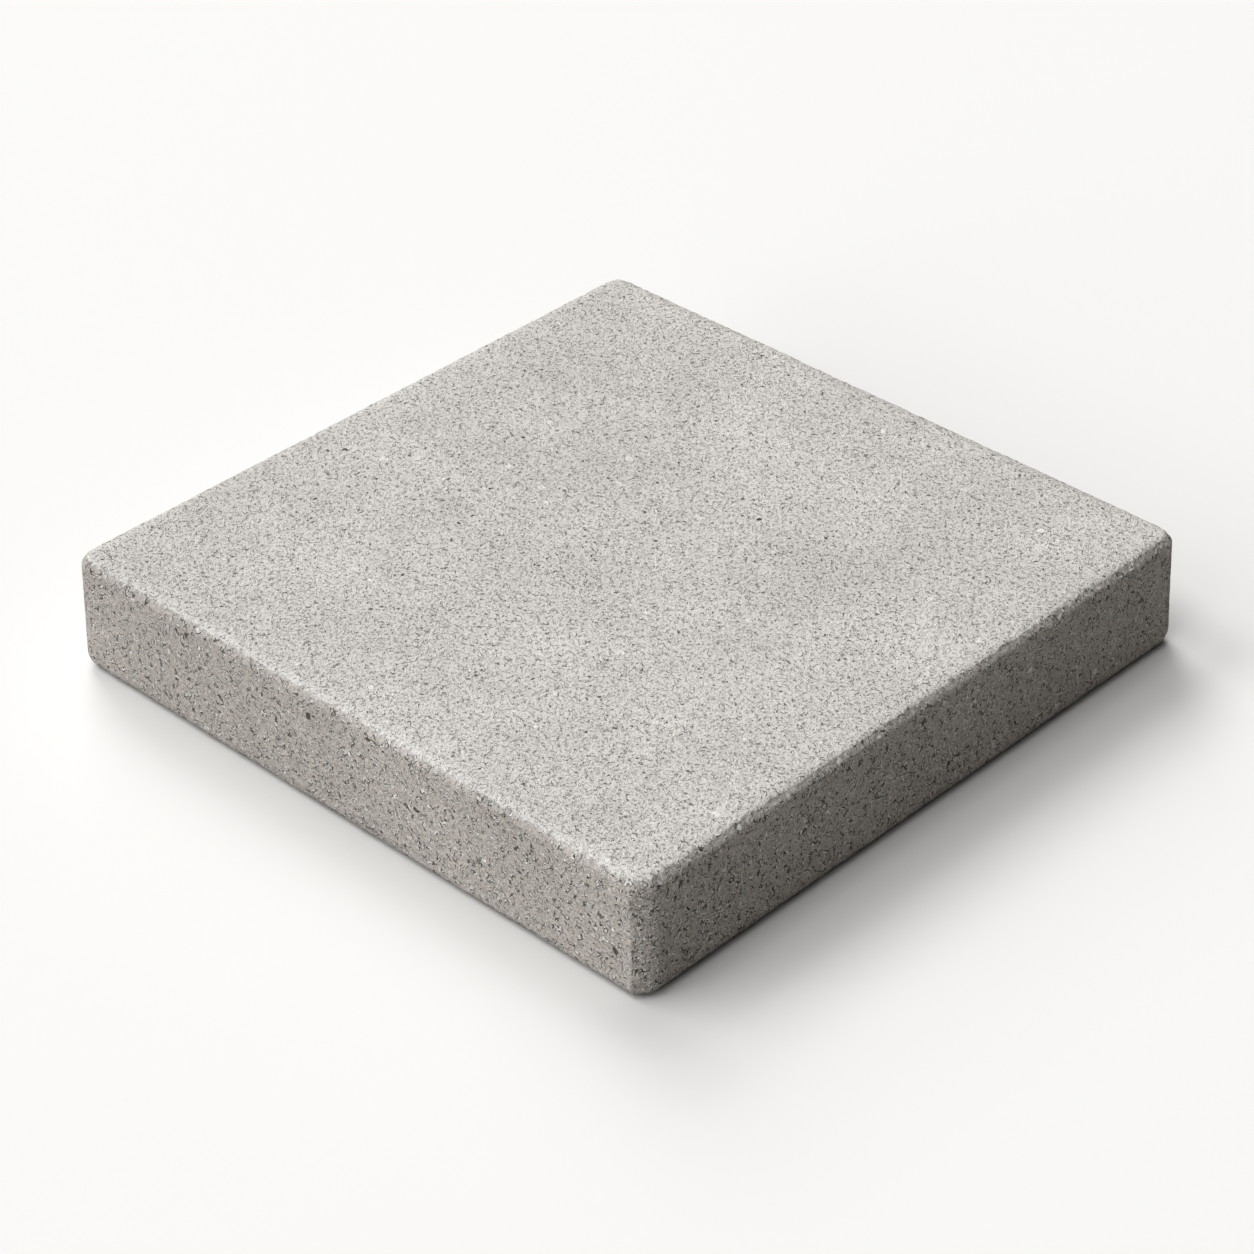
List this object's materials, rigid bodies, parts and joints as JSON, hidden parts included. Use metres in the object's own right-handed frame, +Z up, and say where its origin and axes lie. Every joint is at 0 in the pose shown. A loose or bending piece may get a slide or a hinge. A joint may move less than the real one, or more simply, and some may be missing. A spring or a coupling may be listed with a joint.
{
  "type": "concrete paving slab",
  "caption": "Square grey concrete paving slab, cast in one piece, with slightly leaning sides, rounded corners and rounded top and bottom arrises.",
  "frame": {"origin": "middle of the bed face, the flat underside that the slab lies on", "axes": "+Z up through the thickness to the top face, +X and +Y square to the sides"},
  "size_m": [0.3, 0.3, 0.05],
  "materials": {
    "cast_concrete": "matte"
  },
  "bodies": {
    "root": {"slab": "cast_concrete"}
  },
  "joints": []
}
